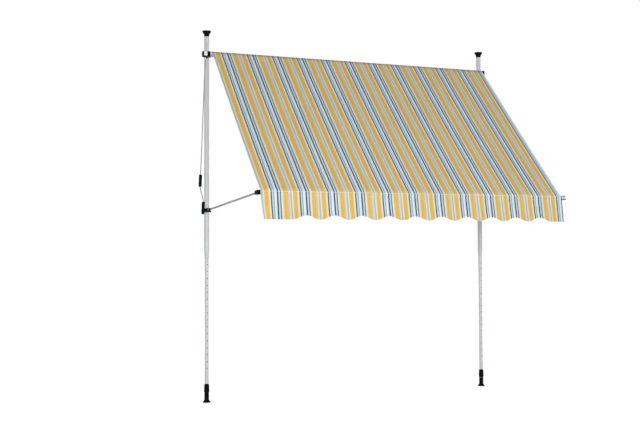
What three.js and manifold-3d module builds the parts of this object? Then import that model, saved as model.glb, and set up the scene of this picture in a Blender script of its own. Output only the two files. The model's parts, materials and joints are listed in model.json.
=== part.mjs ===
// Free-standing clamp awning with a striped cloth, in millimetres.
// +Z is up, +X runs along the roller and the cloth slopes forward towards -Y.
// The origin lies on the floor, midway between the two posts.
import * as THREE from 'three';
import { mergeVertices } from 'three/addons/utils/BufferGeometryUtils.js';
import Module from 'manifold-3d';

const wasm = await Module();
wasm.setup();

// Whole awning
const roomHeight = 2700; // floor to ceiling, which the posts clamp between
const postSpacing = 2293; // between the axes of the posts
const gap = 0.3; // between pieces that touch
const tubeWall = 1.2;

// Posts
const upperTubeRadius = 18;
const lowerTubeRadius = 14;
const pinHeight = 1044; // the pin that the upper tube stands on
const pinRadius = 2.7;
const holePitch = 50;
const holeRadius = 3.4;
const lowestHoleHeight = 244; // the holes run down from the pin to about here
const swageLength = 50; // drawn-in lower end of the upper tube
const overlapLength = 250; // lower tube inside the upper one
const bushLength = 45;

// Feet and ceiling pads
const padRadius = 27.5;
const padThickness = 15;
const sleeveRadius = 16.75;
const sleeveTop = 73;
const nutRadius = 19.5;
const nutTopRadius = 17.5;
const nutHeight = 55;
const nutFlutes = 12;
const spindleRadius = 5;
const spindleTop = 200;
const plugLength = 22;
const plugFlange = 3;
const ceilingPadRadius = 32;
const ceilingPadHeight = 42;
const ceilingDiscHeight = 8;
const ceilingNeckRadius = 18.7;
const ceilingNeckHeight = 14;
const ceilingSpigot = 30;

// Clamps around the posts
const clampWall = 5.7;
const flangeReach = 33; // from the post's axis to the flange's end
const flangeThickness = 6;
const clampBoltRadius = 2.5;
const clampBoltReach = 28.5;
const rollerClampHeight = 37;
const rollerClampLift = 12; // the clamp's middle above the roller's axis
const armClampHeight = 27;
const armClampDrop = 4.5; // the clamp's middle below the arm's pivot

// Roller
const rollerDrop = 186; // the roller's axis below the ceiling
const rollerReach = 92; // in front of the posts' axes
const rollerTubeRadius = 17.5;
const rollTurns = 3; // turns of cloth left on the tube
const clothThickness = 0.6;
const leftClothInset = 10.5; // from the left post's axis to the cloth's left edge
const roofInset = 32; // from the right post's axis to the right edge of the roof
const valanceInset = 23; // from the right post's axis to the right edge of the valance
const bracketThickness = 10;
const gearBracketInset = 4; // left bracket's inner face, out from the post's axis
const idlerBracketInset = 19; // right bracket's inner face, in from the post's axis
const bracketDrop = 18.5; // below and above the roller's axis
const bracketFront = 18; // in front of the roller's axis
const shaftRadius = 6;
const drumLength = 12.2; // flange of the right roller plug, beside the cloth
const drumRadius = 19;

// Gearbox at the left post
const housingDepth = 41; // along X
const housingWall = 2.5;
const housingFront = 16.5; // in front of the roller's axis
const housingBehind = 10.9; // behind the worm's axis
const wheelInset = 17.5; // from the bracket to the wheel's middle
const wheelTeeth = 7;
const wheelPitchRadius = 10.4;
const wheelWidth = 9.6;
const wheelHubRadius = 7.8;
const wormPitchRadius = 5.6;
const wormLength = 20.8;
const wormShaftRadius = 3;
const wormShaftTop = 58.5; // above the eye's centre
const threadAddendum = 1.76;
const threadDedendum = 2.24;
const threadShare = 0.32; // a thread's share of the pitch, at the pitch line
const threadFlank = 0.1; // each flank's share of the pitch

// Crank, in its own frame: the origin is the eye's centre, and +Z runs up the rod's line
const crankLean = 2.4; // degrees outward
const eyeDrop = 44; // below the worm's centre
const eyeRadius = 7;
const eyeWire = 2;
const hookWire = 2.3;
const crankRodRadius = 3.5;
const hookLength = 34;
const upperGripDrop = 830;
const gripLength = 87;
const gripRadius = 11.5;
const handleOffset = 49.6; // lower grip's axis from the rod's line
const handleAngle = -72; // direction of that offset around the rod, degrees from +X
const handleDrop = 1027;

// Arms and front bar
const pivotDrop = 1122; // below the roller's axis
const pivotReach = 85;
const armLength = 1057.2; // pivot to bar axis
const armRise = 3.69; // degrees above level with the cloth run out
const armTubeRadius = 6.5;
const tongueThickness = 6.2;
const tongueRadius = 8;
const earThickness = 8;
const earRadius = 9.4;
const pivotBoltRadius = 3;
const pivotNutRadius = 6.5;
const knuckleWidth = 21;
const knuckleLength = 40;
const knuckleHeight = 26;
const knuckleOffset = 2; // outward from the arm's axis
const knuckleJaw = 2.4;
const jawReach = 0.75; // where the jaws end around the bar, in half turns from its back
const socketDepth = 18;
const barRadius = 12.5;
const barOverhang = 2.5; // beyond the posts' axes
const barShift = 4; // the bar sits that far to the right of the middle
const barCapThickness = 2.8;

// Cloth
const canopySag = 6;
const pocketThickness = 1;
const pocketSeamDrop = 19; // seam under the bar's axis
const valanceDrop = 171; // bar axis to the lowest point of the lobes
const scallopPitch = 195;
const scallopDepth = 27;
const lobeCentre = 42; // one lobe's place along X
const waveDepth = 8; // how far the valance swings out of its plane
const valanceLean = 22; // how far forward its lower edge hangs
const cornerDraw = 12; // how far its lower left corner draws in
const cornerReach = 130; // the stretch at that end that draws in

// Worked out from the sizes above
const postX = postSpacing / 2;
const rollerHeight = roomHeight - rollerDrop;
const bracketOuter = gearBracketInset + bracketThickness;
const pivotHeight = rollerHeight - pivotDrop;
const armClampCentre = pivotHeight - armClampDrop;
const clothLeft = -(postX - leftClothInset);
const roofRight = postX - roofInset;
const valanceRight = postX - valanceInset;
const rollerClampCentre = rollerHeight + rollerClampLift;
const nutBottom = sleeveTop + 2.3;
const nutTop = nutBottom + nutHeight;
const tubeBottom = nutTop + gap + plugFlange + gap;
const upperTubeBottom = pinHeight + pinRadius + gap;
const lowerTubeTop = upperTubeBottom + overlapLength;
const upperTubeTop = roomHeight - ceilingPadHeight - gap;
const upperBore = upperTubeRadius - tubeWall;
const lowerBore = lowerTubeRadius - tubeWall;
const rollerY = -rollerReach;
const rollRadius = rollerTubeRadius + gap + rollTurns * clothThickness;
const rise = THREE.MathUtils.degToRad(armRise);
const barY = -pivotReach - armLength * Math.cos(rise);
const barZ = pivotHeight + armLength * Math.sin(rise);
const barHalf = postX + barOverhang;
const pocketBore = barRadius + gap;
const pocketRadius = pocketBore + pocketThickness;
const gearCentreDistance = wheelPitchRadius + wormPitchRadius;
const gearX = -(postX + bracketOuter + wheelInset);
const wormY = rollerY + gearCentreDistance;
const housingInnerX = -(postX + bracketOuter + gap);
const housingOuterX = housingInnerX - housingDepth;

// Finishes
const finishes = {
  whitePaint: { color: 0xe4e5e1, roughness: 0.35, metalness: 0 },
  blackPlastic: { color: 0x161718, roughness: 0.5, metalness: 0 },
  whitePlastic: { color: 0xf2f3f2, roughness: 0.35, metalness: 0 },
  greyPaint: { color: 0xa9aaa7, roughness: 0.4, metalness: 0 },
  zinc: { color: 0xb4b7b8, roughness: 0.35, metalness: 1 },
  brass: { color: 0xb8954f, roughness: 0.4, metalness: 1 },
  cloth: { color: 0xd9b068, roughness: 0.9, metalness: 0 },
};

const awning = new THREE.Group();

function add(name, geometry, finish, parent = awning) {
  const mesh = new THREE.Mesh(geometry, new THREE.MeshStandardMaterial(finishes[finish]));
  mesh.name = name;
  parent.add(mesh);
}

function solid(geometry) {
  geometry.deleteAttribute('normal');
  geometry.deleteAttribute('uv');
  const merged = mergeVertices(geometry, 1e-4);
  const faces = [];
  const corners = merged.index.array;
  for (let i = 0; i < corners.length; i += 3) {
    const [a, b, c] = corners.slice(i, i + 3);
    if (a !== b && b !== c && c !== a) faces.push(a, b, c);
  }
  const vertProperties = new Float32Array(merged.attributes.position.array);
  return new wasm.Manifold(new wasm.Mesh({ numProp: 3, vertProperties, triVerts: new Uint32Array(faces) }));
}

function geometryOf(body) {
  const mesh = body.getMesh();
  const geometry = new THREE.BufferGeometry();
  geometry.setAttribute('position', new THREE.BufferAttribute(mesh.vertProperties, 3));
  geometry.setIndex(new THREE.BufferAttribute(mesh.triVerts, 1));
  return geometry;
}

function join(...pieces) {
  return geometryOf(pieces.map(solid).reduce((whole, piece) => whole.add(piece)));
}

function cut(piece, ...tools) {
  return geometryOf(tools.map(solid).reduce((rest, tool) => rest.subtract(tool), solid(piece)));
}

// A turned piece about Z from [radius, height] pairs that run up its outside.
function turned(profile, sides = 18) {
  const points = profile.map(([radius, height]) => new THREE.Vector2(radius, height));
  return new THREE.LatheGeometry(points, sides).rotateX(Math.PI / 2);
}

// Moves a piece made about Z, starting at z = 0, so that it starts at one point and heads for another.
function aim(geometry, from, to) {
  const start = new THREE.Vector3(...from);
  const heading = new THREE.Vector3(...to).sub(start).normalize();
  geometry.applyQuaternion(new THREE.Quaternion().setFromUnitVectors(new THREE.Vector3(0, 0, 1), heading));
  return geometry.translate(start.x, start.y, start.z);
}

function span(from, to) {
  return new THREE.Vector3(...from).distanceTo(new THREE.Vector3(...to));
}

function rod(radius, from, to, sides = 14) {
  const length = span(from, to);
  return aim(turned([[0, 0], [radius, 0], [radius, length], [0, length]], sides), from, to);
}

function ringProfile(outer, inner, bottom, top) {
  return [[inner, bottom], [outer, bottom], [outer, top], [inner, top], [inner, bottom]];
}

function tube(outer, inner, from, to, sides = 18) {
  return aim(turned(ringProfile(outer, inner, 0, span(from, to)), sides), from, to);
}

function block(x, y, z) {
  const geometry = new THREE.BoxGeometry(x[1] - x[0], y[1] - y[0], z[1] - z[0]);
  return geometry.translate((x[0] + x[1]) / 2, (y[0] + y[1]) / 2, (z[0] + z[1]) / 2);
}

// Extrudes an outline drawn in the YZ plane along X.
function alongX(outline, from, to, curveSegments = 8) {
  const geometry = new THREE.ExtrudeGeometry(outline, { depth: to - from, bevelEnabled: false, curveSegments });
  const yzx = new THREE.Matrix4().makeBasis(
    new THREE.Vector3(0, 1, 0),
    new THREE.Vector3(0, 0, 1),
    new THREE.Vector3(1, 0, 0),
  );
  return geometry.applyMatrix4(yzx).translate(from, 0, 0);
}

function roundedRectangle(y, z, radius) {
  const shape = new THREE.Shape();
  shape.absarc(y[1] - radius, z[0] + radius, radius, -Math.PI / 2, 0);
  shape.absarc(y[1] - radius, z[1] - radius, radius, 0, Math.PI / 2);
  shape.absarc(y[0] + radius, z[1] - radius, radius, Math.PI / 2, Math.PI);
  shape.absarc(y[0] + radius, z[0] + radius, radius, Math.PI, Math.PI * 1.5);
  return shape;
}

// Closes a grid of points: rings of equal length, each ring a loop, with flat ends.
function loft(rings) {
  const count = rings[0].length;
  const positions = rings.flat(2);
  const index = [];
  for (let j = 0; j + 1 < rings.length; j += 1) {
    for (let i = 0; i < count; i += 1) {
      const a = j * count + i;
      const b = j * count + ((i + 1) % count);
      index.push(a, b, b + count, a, b + count, a + count);
    }
  }
  const last = (rings.length - 1) * count;
  const caps = THREE.ShapeUtils.triangulateShape(
    rings[0].map((point) => new THREE.Vector2(point[0], point[1])),
    [],
  );
  for (const [a, b, c] of caps) {
    index.push(a, c, b, last + a, last + b, last + c);
  }
  const geometry = new THREE.BufferGeometry();
  geometry.setAttribute('position', new THREE.Float32BufferAttribute(positions, 3));
  geometry.setIndex(index);
  return geometry;
}

// A body about Z whose radius follows a rule of angle and height.
function radialBody(radiusAt, bottom, top, sides, rings) {
  const rows = [];
  for (let j = 0; j <= rings; j += 1) {
    const z = bottom + ((top - bottom) * j) / rings;
    const row = [];
    for (let i = 0; i < sides; i += 1) {
      const angle = (2 * Math.PI * i) / sides;
      const radius = radiusAt(angle, z);
      row.push([radius * Math.cos(angle), radius * Math.sin(angle), z]);
    }
    rows.push(row);
  }
  return loft(rows);
}

// Height of a trapezoid thread, from 0 at the root to 1 at the crest, around a whole-number place.
function threadHeight(place) {
  const away = Math.abs(place - Math.round(place));
  const crest = threadShare / 2 - threadFlank / 2;
  return THREE.MathUtils.clamp((crest + threadFlank - away) / threadFlank, 0, 1);
}

function buildFoot(side, x) {
  const foot = new THREE.Group();
  foot.position.x = x;
  awning.add(foot);
  const pad = turned([
    [0, 0], [padRadius, 0], [padRadius, 4], [padRadius - 3, 9], [sleeveRadius + 2, padThickness],
    [sleeveRadius, padThickness + 4], [sleeveRadius, sleeveTop - 1], [sleeveRadius - 1, sleeveTop],
    [spindleRadius + gap, sleeveTop], [spindleRadius + gap, padThickness / 2], [0, padThickness / 2],
  ]);
  add(`${side}_foot_pad`, pad, 'blackPlastic', foot);
  const spindleBottom = padThickness / 2 + gap;
  add(`${side}_foot_spindle`, rod(spindleRadius, [0, 0, spindleBottom], [0, 0, spindleTop], 16), 'zinc', foot);
  const nut = turned([
    [spindleRadius + gap, nutBottom], [nutRadius - 1, nutBottom], [nutRadius, nutBottom + 1],
    [nutRadius, nutBottom + 8], [nutTopRadius, nutTop - 1], [nutTopRadius - 1, nutTop],
    [spindleRadius + gap, nutTop], [spindleRadius + gap, nutBottom],
  ], 24);
  const flutes = [];
  for (let i = 0; i < nutFlutes; i += 1) {
    const angle = (2 * Math.PI * i) / nutFlutes;
    const flute = nutRadius + 0.8;
    const place = [flute * Math.cos(angle), flute * Math.sin(angle)];
    flutes.push(rod(1.8, [...place, nutBottom + 9], [...place, nutBottom - 1], 6));
  }
  add(`${side}_adjuster_nut`, cut(nut, ...flutes), 'blackPlastic', foot);
}

function buildPost(side, x) {
  const post = new THREE.Group();
  post.position.x = x;
  awning.add(post);
  const plugBottom = nutTop + gap;
  const plug = turned([
    [spindleRadius + gap, plugBottom], [lowerTubeRadius, plugBottom], [lowerTubeRadius, plugBottom + plugFlange],
    [lowerBore - gap, plugBottom + plugFlange], [lowerBore - gap, plugBottom + plugLength],
    [spindleRadius + gap, plugBottom + plugLength], [spindleRadius + gap, plugBottom],
  ]);
  add(`${side}_tube_plug`, plug, 'blackPlastic', post);

  const holes = [];
  for (let z = pinHeight; z > lowestHoleHeight - holePitch / 2; z -= holePitch) {
    holes.push(rod(holeRadius, [0, -lowerTubeRadius - 1, z], [0, lowerTubeRadius + 1, z], 6));
  }
  const lower = tube(lowerTubeRadius, lowerBore, [0, 0, tubeBottom], [0, 0, lowerTubeTop]);
  add(`${side}_lower_tube`, cut(lower, ...holes), 'whitePaint', post);

  const pinEnd = lowerTubeRadius + tubeWall + 2 * gap + 2.2;
  const pin = turned([
    [0, 0], [4, 0], [5, 0.8], [5, 2.2], [pinRadius, 2.2],
    [pinRadius, 2 * pinEnd - 1], [pinRadius - 1, 2 * pinEnd], [0, 2 * pinEnd],
  ], 12);
  add(`${side}_height_pin`, aim(pin, [0, -pinEnd, pinHeight], [0, pinEnd, pinHeight]), 'zinc', post);

  const bushBottom = lowerTubeTop + gap - bushLength;
  const bush = turned([
    [lowerTubeRadius + gap, bushBottom], [upperBore - gap, bushBottom], [upperBore - gap, bushBottom + bushLength + 3],
    [lowerBore - 2, bushBottom + bushLength + 3], [lowerBore - 2, lowerTubeTop + gap],
    [lowerTubeRadius + gap, lowerTubeTop + gap], [lowerTubeRadius + gap, bushBottom],
  ]);
  add(`${side}_guide_bush`, bush, 'blackPlastic', post);

  const swageBore = lowerTubeRadius + gap;
  const upper = turned([
    [swageBore, upperTubeBottom], [swageBore + tubeWall, upperTubeBottom],
    [swageBore + tubeWall, upperTubeBottom + 8], [upperTubeRadius, upperTubeBottom + swageLength],
    [upperTubeRadius, upperTubeTop], [upperBore, upperTubeTop],
    [upperBore, upperTubeBottom + swageLength], [swageBore, upperTubeBottom + 8], [swageBore, upperTubeBottom],
  ]);
  add(`${side}_upper_tube`, upper, 'whitePaint', post);

  const padBottom = roomHeight - ceilingPadHeight;
  const pad = turned([
    [0, padBottom - ceilingSpigot], [upperBore - gap, padBottom - ceilingSpigot], [upperBore - gap, padBottom],
    [ceilingNeckRadius, padBottom], [ceilingNeckRadius, padBottom + ceilingNeckHeight],
    [ceilingPadRadius - 2, roomHeight - ceilingDiscHeight - 2], [ceilingPadRadius, roomHeight - ceilingDiscHeight],
    [ceilingPadRadius, roomHeight - 2], [ceilingPadRadius - 2, roomHeight], [0, roomHeight],
  ]);
  add(`${side}_ceiling_pad`, pad, 'blackPlastic', post);
}

// One half of a clamp around a post, with a bolt flange on each side. Front halves face -Y.
function clampHalf(facing, bottom, top) {
  const outer = upperTubeRadius + gap + clampWall;
  const face = facing * gap;
  const flangeY = [face, facing * flangeThickness].sort((a, b) => a - b);
  const halfY = facing > 0 ? [face, outer + 1] : [-outer - 1, face];
  const collar = geometryOf(
    solid(rod(outer, [0, 0, bottom], [0, 0, top], 20))
      .intersect(solid(block([-outer - 1, outer + 1], halfY, [bottom - 1, top + 1]))),
  );
  return join(collar, block([-flangeReach, flangeReach], flangeY, [bottom, top]));
}

function clampCuts(bottom, top) {
  const middle = (bottom + top) / 2;
  const cuts = [rod(upperTubeRadius + gap, [0, 0, bottom - 60], [0, 0, top + 60], 20)];
  for (const way of [-1, 1]) {
    const x = way * clampBoltReach;
    cuts.push(rod(clampBoltRadius + gap, [x, -60, middle], [x, 60, middle], 8));
  }
  return cuts;
}

function clampBolt(way, middle) {
  const headY = -flangeThickness - gap;
  const nutY = flangeThickness + gap;
  const x = way * clampBoltReach;
  return join(
    rod(4.3, [x, headY - 3.5, middle], [x, headY, middle], 8),
    rod(clampBoltRadius, [x, headY - 1, middle], [x, nutY + 6, middle], 8),
    rod(4.6, [x, nutY, middle], [x, nutY + 4, middle], 6),
  );
}

function buildRollerClamp(side, x, out) {
  const clamp = new THREE.Group();
  clamp.position.x = x;
  awning.add(clamp);
  const bottom = rollerClampCentre - rollerClampHeight / 2;
  const top = rollerClampCentre + rollerClampHeight / 2;
  const plateStart = out < 0 ? -bracketOuter : -idlerBracketInset;
  const plateY = [rollerY - bracketFront, -upperTubeRadius + 4];
  const plateZ = [rollerHeight - bracketDrop, rollerHeight + bracketDrop];
  const plate = alongX(roundedRectangle(plateY, plateZ, 8), plateStart, plateStart + bracketThickness);
  const front = cut(
    join(clampHalf(-1, bottom, top), plate),
    ...clampCuts(bottom, top),
    rod(shaftRadius + gap, [-40, rollerY, rollerHeight], [40, rollerY, rollerHeight]),
  );
  add(`${side}_roller_clamp_front`, front, 'blackPlastic', clamp);
  add(`${side}_roller_clamp_back`, cut(clampHalf(1, bottom, top), ...clampCuts(bottom, top)), 'blackPlastic', clamp);
  add(`${side}_roller_clamp_bolt_a`, clampBolt(-1, rollerClampCentre), 'zinc', clamp);
  add(`${side}_roller_clamp_bolt_b`, clampBolt(1, rollerClampCentre), 'zinc', clamp);
}

function buildArmClamp(side, x, out) {
  const clamp = new THREE.Group();
  clamp.position.x = x;
  awning.add(clamp);
  const bottom = armClampCentre - armClampHeight / 2;
  const top = armClampCentre + armClampHeight / 2;
  // One ear stands outside the arm's tongue, whose inner side carries the nut.
  const tongueSide = tongueThickness / 2 + gap;
  const earX = [out * tongueSide, out * (tongueSide + earThickness)].sort((a, b) => a - b);
  const ear = new THREE.Shape();
  ear.moveTo(-upperTubeRadius + 2, bottom);
  ear.lineTo(-upperTubeRadius + 2, top);
  ear.absarc(-pivotReach, pivotHeight, earRadius, Math.PI / 2, Math.PI * 1.5);
  ear.lineTo(-pivotReach + 20, bottom);
  const front = cut(
    join(clampHalf(-1, bottom, top), alongX(ear, ...earX)),
    ...clampCuts(bottom, top),
    rod(pivotBoltRadius + gap, [-30, -pivotReach, pivotHeight], [30, -pivotReach, pivotHeight]),
  );
  add(`${side}_arm_clamp_front`, front, 'blackPlastic', clamp);
  add(`${side}_arm_clamp_back`, cut(clampHalf(1, bottom, top), ...clampCuts(bottom, top)), 'blackPlastic', clamp);
  add(`${side}_arm_clamp_bolt_a`, clampBolt(-1, armClampCentre), 'zinc', clamp);
  add(`${side}_arm_clamp_bolt_b`, clampBolt(1, armClampCentre), 'zinc', clamp);

  const headX = out * (tongueSide + earThickness + gap);
  const bolt = join(
    rod(5.5, [headX, 0, 0], [headX + out * 3.5, 0, 0], 6),
    rod(pivotBoltRadius, [headX + out, 0, 0], [-out * (tongueSide + 4), 0, 0], 12),
    rod(pivotNutRadius, [-out * tongueSide, 0, 0], [-out * (tongueSide + 5), 0, 0], 6),
  );
  add(`${side}_arm_pivot_bolt`, bolt.translate(0, -pivotReach, pivotHeight), 'zinc', clamp);
}

// The arm runs from its pivot, the group's origin, along the group's -Y.
function buildArm(side, x) {
  const arm = new THREE.Group();
  arm.position.set(x, -pivotReach, pivotHeight);
  arm.rotation.x = -rise;
  awning.add(arm);
  const pressedEnd = 14;
  const roundStart = 40;
  const tubeEnd = armLength - knuckleLength + socketDepth;
  const armSides = 14;
  const rings = [];
  for (const [y, flat] of [[4, 1], [pressedEnd, 1], [roundStart * 0.65, 0.5], [roundStart, 0], [tubeEnd, 0]]) {
    const halfX = THREE.MathUtils.lerp(armTubeRadius, tongueThickness / 2, flat);
    const halfZ = THREE.MathUtils.lerp(armTubeRadius, tongueRadius, flat);
    const ring = [];
    for (let i = 0; i < armSides; i += 1) {
      const angle = (2 * Math.PI * i) / armSides;
      const squareness = THREE.MathUtils.lerp(1, 0.45, flat);
      const c = Math.cos(angle);
      ring.push([halfX * Math.sign(c) * Math.abs(c) ** squareness, halfZ * Math.sin(angle), y]);
    }
    rings.push(ring);
  }
  const shank = loft(rings).rotateX(Math.PI / 2);
  const tongue = rod(tongueRadius, [-tongueThickness / 2, 0, 0], [tongueThickness / 2, 0, 0], 22);
  const bore = armTubeRadius - tubeWall;
  const tubeCut = rod(bore, [0, -roundStart - 4, 0], [0, -tubeEnd - 1, 0], 16);
  const boltCut = rod(pivotBoltRadius + gap, [-20, 0, 0], [20, 0, 0], 12);
  add(`${side}_arm_tube`, cut(join(shank, tongue), tubeCut, boltCut), 'greyPaint', arm);

  const knuckleCentre = Math.sign(x) * knuckleOffset;
  const knuckleX = [knuckleCentre - knuckleWidth / 2, knuckleCentre + knuckleWidth / 2];
  const jawRadius = barRadius + gap + knuckleJaw;
  const outline = new THREE.Shape();
  outline.moveTo(-armLength + knuckleLength, -knuckleHeight / 2 + 3);
  outline.lineTo(-armLength + knuckleLength, knuckleHeight / 2 - 3);
  outline.lineTo(-armLength + knuckleLength - 3, knuckleHeight / 2);
  outline.lineTo(-armLength + jawRadius + 6, knuckleHeight / 2);
  const jawEnd = Math.PI * jawReach;
  outline.absarc(-armLength, 0, jawRadius, Math.PI / 3, jawEnd);
  outline.absarc(-armLength, 0, barRadius + gap, jawEnd, -jawEnd, true);
  outline.absarc(-armLength, 0, jawRadius, -jawEnd, -Math.PI / 3);
  outline.lineTo(-armLength + jawRadius + 6, -knuckleHeight / 2);
  outline.lineTo(-armLength + knuckleLength - 3, -knuckleHeight / 2);
  const socketStart = -armLength + knuckleLength + 1;
  const socketEnd = -tubeEnd - gap;
  const socket = rod(armTubeRadius + gap, [0, socketStart, 0], [0, socketEnd, 0], 16);
  add(`${side}_arm_knuckle`, cut(alongX(outline, ...knuckleX, 10), socket), 'blackPlastic', arm);
}

function buildRoller() {
  const roller = new THREE.Group();
  roller.position.set(0, rollerY, rollerHeight);
  awning.add(roller);
  const leftEnd = -(postX + gearBracketInset - 0.5);
  const rightEnd = postX - idlerBracketInset - 0.5 - drumLength - gap;
  const bore = rollerTubeRadius - tubeWall;
  add('roller_tube', tube(rollerTubeRadius, bore, [leftEnd, 0, 0], [rightEnd, 0, 0], 24), 'zinc', roller);

  const shaftEnd = housingOuterX + housingWall + 1.5;
  const leftPlug = join(
    rod(bore - gap, [leftEnd + 0.2, 0, 0], [leftEnd + 40, 0, 0]),
    rod(shaftRadius, [leftEnd + 1, 0, 0], [shaftEnd, 0, 0]),
  );
  add('left_roller_plug', leftPlug, 'blackPlastic', roller);
  const rightPlug = cut(
    join(
      rod(bore - gap, [rightEnd - 40, 0, 0], [rightEnd + 1, 0, 0]),
      rod(drumRadius, [rightEnd + gap, 0, 0], [rightEnd + gap + drumLength - 0.5, 0, 0], 24),
    ),
    rod(shaftRadius + gap, [rightEnd - 30, 0, 0], [rightEnd + drumLength + 5, 0, 0]),
  );
  add('right_roller_plug', rightPlug, 'blackPlastic', roller);
  const pinHead = postX - idlerBracketInset + bracketThickness + gap;
  const idler = join(
    rod(shaftRadius, [rightEnd - 28, 0, 0], [pinHead + 1, 0, 0]),
    rod(shaftRadius + 3, [pinHead, 0, 0], [pinHead + 3.5, 0, 0]),
  );
  add('idler_pin', idler, 'zinc', roller);

  // The roll's outside is a spiral whose step is where the cloth leaves it.
  const outline = new THREE.Shape();
  const steps = 36;
  for (let i = 0; i <= steps; i += 1) {
    const turn = i / steps;
    const angle = tangentAngle + 2 * Math.PI * turn;
    const radius = rollRadius - clothThickness * (1 - turn);
    const point = [radius * Math.cos(angle), radius * Math.sin(angle)];
    if (i === 0) outline.moveTo(...point);
    else outline.lineTo(...point);
  }
  const hole = new THREE.Path();
  hole.absarc(0, 0, rollerTubeRadius + gap, 0, 2 * Math.PI, true);
  outline.holes.push(hole);
  add('cloth_roll', alongX(outline, clothLeft, roofRight, 9), 'cloth', roller);
  return roller;
}

function buildGearbox(roller) {
  const z = [rollerHeight - bracketDrop, rollerHeight + bracketDrop];
  const y = [rollerY - housingFront, wormY + housingBehind];
  const lean = THREE.MathUtils.degToRad(crankLean);
  const eye = [gearX - eyeDrop * Math.tan(lean), wormY, rollerHeight - eyeDrop];
  const upTheRod = (reach) => [eye[0] + reach * Math.sin(lean), eye[1], eye[2] + reach * Math.cos(lean)];
  const wall = housingWall;
  const hollow = roundedRectangle([y[0] + wall, y[1] - wall], [z[0] + wall, z[1] - wall], 7);
  const shell = cut(
    alongX(roundedRectangle(y, z, 9), housingOuterX, housingInnerX),
    alongX(hollow, housingOuterX + wall, housingInnerX + 1),
  );
  const topBoss = rod(6.5, [gearX + 2, wormY, z[1] - wall - 4], [gearX + 2, wormY, z[1] - 1]);
  const bottomBoss = rod(6.5, [gearX, wormY, z[0] - 3], [gearX, wormY, z[0] + wall]);
  const onAxle = (x) => [x, rollerY, rollerHeight];
  const wheelBoss = rod(10, onAxle(housingOuterX + 1), onAxle(housingOuterX + wall + 4));
  const housing = cut(
    join(shell, topBoss, bottomBoss, wheelBoss),
    rod(wormShaftRadius + gap, upTheRod(0), upTheRod(wormShaftTop + gap)),
    rod(shaftRadius + gap, onAxle(housingOuterX + wall), onAxle(housingInnerX)),
  );
  add('gear_housing', housing, 'blackPlastic');
  const coverX = [housingOuterX + 4, housingInnerX - 13];
  const cover = alongX(roundedRectangle([y[0] - gap - 3, y[0] - gap], [z[0] + 3, z[1] - 3], 1.4), ...coverX, 4);
  add('gear_cover', cover, 'whitePlastic');

  // Worm wheel, turned about its axle and slanted to the thread's lead.
  const pitch = (2 * Math.PI * wheelPitchRadius) / wheelTeeth;
  const leadSlope = pitch / (2 * Math.PI * wormPitchRadius);
  const wheelRoot = wheelPitchRadius - threadDedendum;
  const teeth = radialBody((angle, x) => {
    const place = (wheelTeeth * angle) / (2 * Math.PI) - (x * leadSlope) / pitch;
    return wheelRoot + (threadAddendum + threadDedendum) * threadHeight(place);
  }, -wheelWidth / 2, wheelWidth / 2, wheelTeeth * 9, 2);
  const yzx = new THREE.Matrix4().makeBasis(
    new THREE.Vector3(0, 1, 0),
    new THREE.Vector3(0, 0, 1),
    new THREE.Vector3(1, 0, 0),
  );
  teeth.applyMatrix4(yzx).translate(gearX, 0, 0);
  const hubEnds = [housingOuterX + housingWall + 4 + gap, housingInnerX - 2.5];
  const wheel = cut(
    join(teeth, rod(wheelHubRadius, [hubEnds[0], 0, 0], [hubEnds[1], 0, 0])),
    rod(shaftRadius + gap, [hubEnds[0] - 1, 0, 0], [hubEnds[1] + 1, 0, 0]),
  );
  add('worm_wheel', wheel, 'brass', roller);
  buildCrank(eye, lean, pitch);
}

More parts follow.
